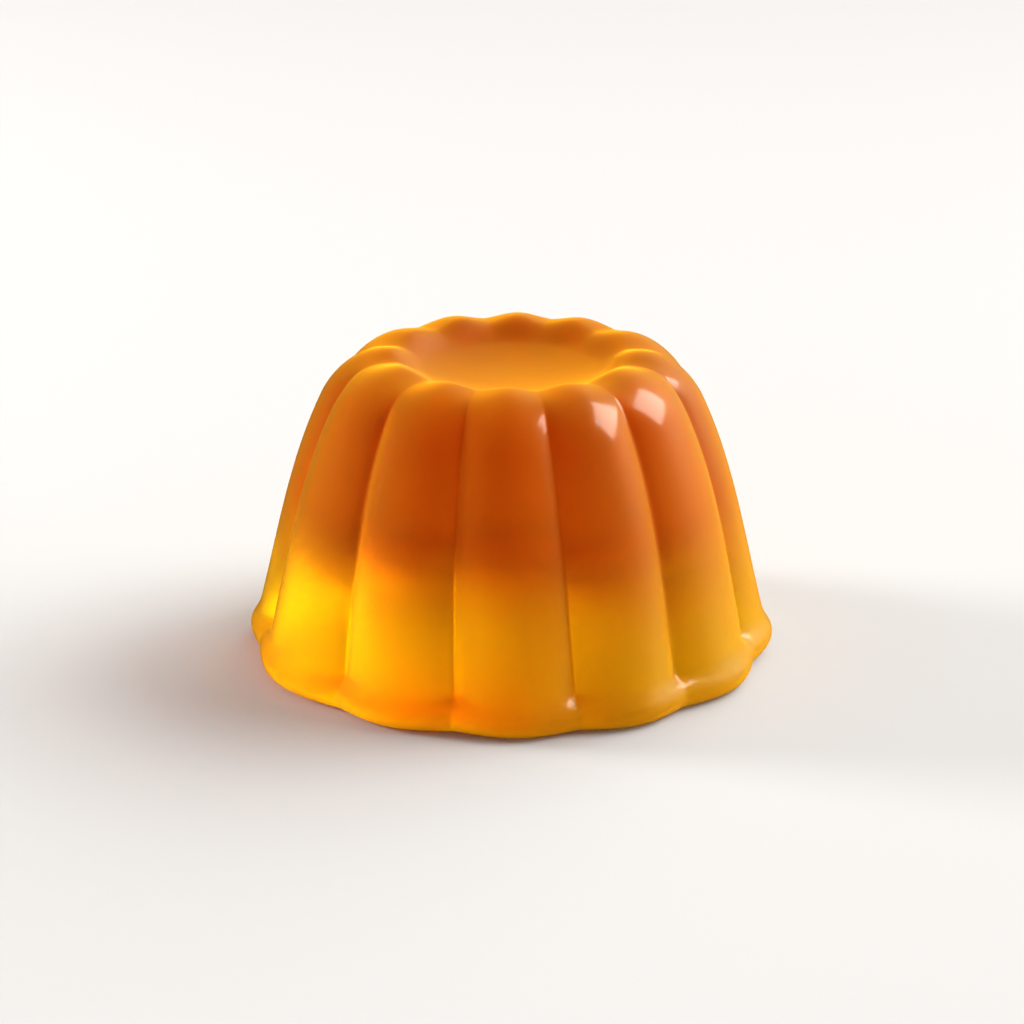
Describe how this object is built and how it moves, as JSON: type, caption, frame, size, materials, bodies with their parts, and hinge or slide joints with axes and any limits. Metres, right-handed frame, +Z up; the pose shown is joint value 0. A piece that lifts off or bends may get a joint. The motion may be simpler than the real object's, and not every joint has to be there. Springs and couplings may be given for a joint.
{
  "type": "moulded jelly",
  "caption": "Translucent amber jelly turned out of a fluted mould, with rounded flutes, a soft rim, a shallow dish in its top and a scalloped bead round its foot.",
  "frame": {"origin": "on the flat underside, below the middle of the jelly", "axes": "+Z up through the dish in the top, -Y through the middle of the front flute"},
  "size_m": [0.0792, 0.0794, 0.0462],
  "materials": {
    "jelly": "smooth wet gloss over a translucent amber body, deep orange where thick and yellow where thin"
  },
  "bodies": {
    "root": {"jelly": "jelly"}
  },
  "joints": []
}
